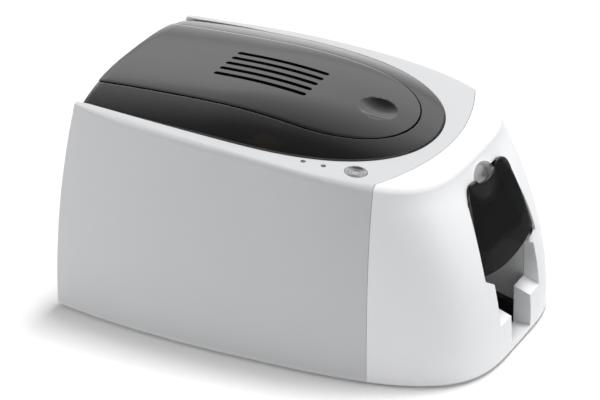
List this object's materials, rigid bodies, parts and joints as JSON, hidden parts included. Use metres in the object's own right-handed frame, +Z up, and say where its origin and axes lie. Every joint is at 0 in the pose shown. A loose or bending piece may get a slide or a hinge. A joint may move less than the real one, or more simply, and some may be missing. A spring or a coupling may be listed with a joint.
{
  "type": "desktop id card printer",
  "caption": "Desktop card printer with a rounded white case, a smoked hinged lid, a smoked drop-down feeder door, an output tray, and a geared roller and ribbon mechanism.",
  "frame": {"origin": "centre of the bounding box's bottom face, on the surface the printer stands on", "axes": "+X to the printer's right seen from its front, +Y from the front to the rear, +Z up"},
  "size_m": [0.25, 0.3847, 0.2062],
  "materials": {
    "shell_white": "satin, fine texture",
    "rear_white": "satin, fine texture",
    "smoke_gloss": "high gloss",
    "panel_gloss": "high gloss",
    "pan_grey": "satin",
    "bin_grey": "satin",
    "inner_black": "matte",
    "foot_rubber": "matte",
    "roller_rubber": "matte",
    "sheet_steel": "zinc plated",
    "turned_steel": "ground",
    "bearing_bronze": "sintered",
    "gear_nylon": "satin",
    "pinion_brass": "satin",
    "motor_metal": "satin",
    "board_green": "solder mask",
    "port_metal": "plated",
    "light_clear": "clear",
    "button_silver": "satin silver",
    "head_metal": "anodised",
    "slider_blue": "satin",
    "ribbon_dark": "film",
    "ribbon_gold": "film",
    "cleaner_blue": "tacky"
  },
  "bodies": {
    "case": {"rear_housing": "rear_white", "front_fascia": "shell_white", "base_pan": "pan_grey", "rubber_feet": "foot_rubber", "chassis_plate_left": "sheet_steel", "chassis_plate_right": "sheet_steel", "tie_bars": "turned_steel", "shaft_bushes": "bearing_bronze", "gear_studs": "turned_steel", "card_hopper": "inner_black", "card_track": "inner_black", "output_bin": "bin_grey", "output_tray": "inner_black", "drive_motor": "motor_metal", "ribbon_motor": "motor_metal", "motor_bracket": "sheet_steel", "main_board": "board_green", "dc_inlet": "inner_black", "usb_port": "port_metal", "control_board": "board_green", "status_lights": "light_clear", "hinge_brackets": "pan_grey", "lid_hinge_pins": "turned_steel", "door_hinge_blocks": "pan_grey"},
    "lid": {"lid_cover": "smoke_gloss", "lid_panel": "panel_gloss", "lid_end_cap": "smoke_gloss", "lid_frame": "inner_black", "head_carrier": "sheet_steel", "print_head": "head_metal"},
    "door": {"feeder_door": "smoke_gloss", "door_hinge_bar": "smoke_gloss"},
    "button": {"power_button": "button_silver"},
    "slider": {"thickness_slider": "slider_blue"},
    "feed_rolls": {"feed_roller": "roller_rubber", "feed_shaft": "turned_steel", "feed_gear": "gear_nylon"},
    "front_rolls": {"front_roller": "roller_rubber", "front_shaft": "turned_steel", "front_gear": "gear_nylon"},
    "platen": {"platen_roller": "roller_rubber", "platen_shaft": "turned_steel", "platen_gear": "gear_nylon"},
    "rear_rolls": {"rear_roller": "roller_rubber", "rear_shaft": "turned_steel", "rear_gear": "gear_nylon"},
    "idler_a": {"idler_gear_a": "gear_nylon"},
    "idler_b": {"idler_gear_b": "gear_nylon"},
    "idler_c": {"idler_gear_c": "gear_nylon"},
    "reduction": {"reduction_gear": "gear_nylon"},
    "pinion": {"motor_pinion": "pinion_brass"},
    "takeup": {"takeup_spool": "ribbon_dark", "takeup_gear": "gear_nylon"},
    "ribbon_drive": {"ribbon_pinion": "pinion_brass"},
    "supply": {"supply_spool": "ribbon_gold"},
    "pinch_front": {"pinch_roller_front": "turned_steel"},
    "pinch_rear": {"pinch_roller_rear": "turned_steel"},
    "cleaner": {"cleaning_roller": "cleaner_blue"}
  },
  "joints": [
    {"name": "lid_hinge", "type": "hinge", "parent": "case", "child": "lid", "pos_m": [0, 0.1615, 0.1885], "axis": [-1, 0, 0], "range_deg": [0, 75]},
    {"name": "door_hinge", "type": "hinge", "parent": "case", "child": "door", "pos_m": [0, -0.17269, 0.085], "axis": [1, 0, 0], "range_deg": [0, 75]},
    {"name": "button_press", "type": "slide", "parent": "case", "child": "button", "axis": [0, 0.1176, -0.9931], "range_m": [0, 0.0015], "stiffness_N_per_m": 600, "springref_m": -0.001},
    {"name": "slider_move", "type": "slide", "parent": "case", "child": "slider", "axis": [0, 0, 1], "range_m": [0, 0.006]},
    {"name": "feed_spin", "type": "hinge", "parent": "case", "child": "feed_rolls", "pos_m": [0, -0.104, 0.0913], "axis": [1, 0, 0], "continuous": true},
    {"name": "front_spin", "type": "hinge", "parent": "case", "child": "front_rolls", "pos_m": [0, -0.062, 0.0913], "axis": [1, 0, 0], "continuous": true},
    {"name": "platen_spin", "type": "hinge", "parent": "case", "child": "platen", "pos_m": [0, -0.02, 0.0913], "axis": [1, 0, 0], "continuous": true},
    {"name": "rear_spin", "type": "hinge", "parent": "case", "child": "rear_rolls", "pos_m": [0, 0.022, 0.0913], "axis": [1, 0, 0], "continuous": true},
    {"name": "idler_a_spin", "type": "hinge", "parent": "case", "child": "idler_a", "pos_m": [0, -0.083, 0.0913], "axis": [1, 0, 0], "continuous": true},
    {"name": "idler_b_spin", "type": "hinge", "parent": "case", "child": "idler_b", "pos_m": [0, -0.041, 0.0913], "axis": [1, 0, 0], "continuous": true},
    {"name": "idler_c_spin", "type": "hinge", "parent": "case", "child": "idler_c", "pos_m": [0, 0.001, 0.0913], "axis": [1, 0, 0], "continuous": true},
    {"name": "reduction_spin", "type": "hinge", "parent": "case", "child": "reduction", "pos_m": [0, -0.02, 0.0613], "axis": [1, 0, 0], "continuous": true},
    {"name": "pinion_spin", "type": "hinge", "parent": "case", "child": "pinion", "pos_m": [0, 0.004, 0.0613], "axis": [1, 0, 0], "continuous": true},
    {"name": "takeup_spin", "type": "hinge", "parent": "case", "child": "takeup", "pos_m": [0, -0.061, 0.1385], "axis": [1, 0, 0], "continuous": true},
    {"name": "ribbon_drive_spin", "type": "hinge", "parent": "case", "child": "ribbon_drive", "pos_m": [0, -0.04, 0.1385], "axis": [1, 0, 0], "continuous": true},
    {"name": "supply_spin", "type": "hinge", "parent": "case", "child": "supply", "pos_m": [0, 0.04, 0.1385], "axis": [1, 0, 0], "continuous": true},
    {"name": "pinch_front_spin", "type": "hinge", "parent": "case", "child": "pinch_front", "pos_m": [0, -0.062, 0.1044], "axis": [1, 0, 0], "continuous": true},
    {"name": "pinch_rear_spin", "type": "hinge", "parent": "case", "child": "pinch_rear", "pos_m": [0, 0.022, 0.1044], "axis": [1, 0, 0], "continuous": true},
    {"name": "cleaner_spin", "type": "hinge", "parent": "case", "child": "cleaner", "pos_m": [0, -0.044, 0.1044], "axis": [1, 0, 0], "continuous": true}
  ],
  "couplings": [
    {"joint": "feed_spin", "follows": "platen_spin", "ratio": 1},
    {"joint": "front_spin", "follows": "platen_spin", "ratio": 1},
    {"joint": "rear_spin", "follows": "platen_spin", "ratio": 1},
    {"joint": "idler_a_spin", "follows": "platen_spin", "ratio": -1.3333},
    {"joint": "idler_b_spin", "follows": "platen_spin", "ratio": -1.3333},
    {"joint": "idler_c_spin", "follows": "platen_spin", "ratio": -1.3333},
    {"joint": "reduction_spin", "follows": "platen_spin", "ratio": -0.66667},
    {"joint": "pinion_spin", "follows": "platen_spin", "ratio": 2},
    {"joint": "ribbon_drive_spin", "follows": "takeup_spin", "ratio": -2.5}
  ]
}
